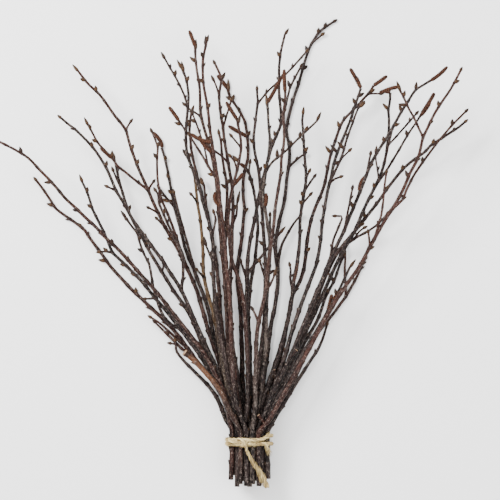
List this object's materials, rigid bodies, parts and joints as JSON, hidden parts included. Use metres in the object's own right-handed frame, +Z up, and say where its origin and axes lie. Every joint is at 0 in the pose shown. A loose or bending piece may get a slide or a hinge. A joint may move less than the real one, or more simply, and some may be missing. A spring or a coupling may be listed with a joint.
{
  "type": "bundle of twigs",
  "caption": "Bundle of budding birch twigs, tied near the cut butts with raffia and fanning out towards the tips, lying flat.",
  "frame": {"origin": "middle of the underside of the box round the twigs and the tie, at the table's height", "axes": "+Z up from the table, +Y from the cut butts towards the tips, +X to the right of the fan seen from above with the tips pointing away"},
  "size_m": [0.4692, 0.469, 0.0815],
  "materials": {
    "bark_dark": "matte dark brown bark",
    "bark_grey": "matte grey-brown bark",
    "bark_red": "satin red-brown bark",
    "bark_orange": "satin orange-brown bark",
    "bark_tan": "satin tan bark",
    "raffia": "dry twisted raffia"
  },
  "bodies": {
    "root": {"tie": "raffia", "tie_tail": "raffia", "twig_01": "bark_dark", "twig_02": "bark_orange", "twig_03": "bark_red", "twig_04": "bark_dark", "twig_04_fork": "bark_dark", "twig_05": "bark_red", "twig_06": "bark_dark", "twig_07": "bark_dark", "twig_07_fork": "bark_dark", "twig_08": "bark_red", "twig_08_fork": "bark_red", "twig_08_fork_2": "bark_red", "twig_09": "bark_dark", "twig_09_fork": "bark_dark", "twig_10": "bark_tan", "twig_11": "bark_dark", "twig_11_fork": "bark_dark", "twig_12": "bark_dark", "twig_13": "bark_grey", "twig_14": "bark_dark", "twig_14_fork": "bark_dark", "twig_15": "bark_red", "twig_16": "bark_dark", "twig_17": "bark_red", "twig_18": "bark_dark", "twig_19": "bark_dark", "twig_19_fork": "bark_dark", "twig_20": "bark_dark", "twig_20_fork": "bark_dark", "twig_21": "bark_dark", "twig_22": "bark_grey", "twig_22_fork": "bark_grey", "twig_23": "bark_grey", "twig_24": "bark_dark", "twig_24_fork": "bark_dark", "twig_24_fork_2": "bark_dark", "twig_25": "bark_dark", "twig_26": "bark_red", "twig_27": "bark_dark", "twig_27_fork": "bark_dark", "twig_28": "bark_dark", "twig_29": "bark_dark", "twig_29_fork": "bark_dark", "twig_30": "bark_dark", "twig_30_fork": "bark_dark", "twig_31": "bark_red", "twig_31_fork": "bark_red", "twig_31_fork_2": "bark_red", "twig_32": "bark_red", "twig_32_fork": "bark_red", "twig_33": "bark_dark", "twig_34": "bark_dark", "twig_35": "bark_dark"}
  },
  "joints": []
}
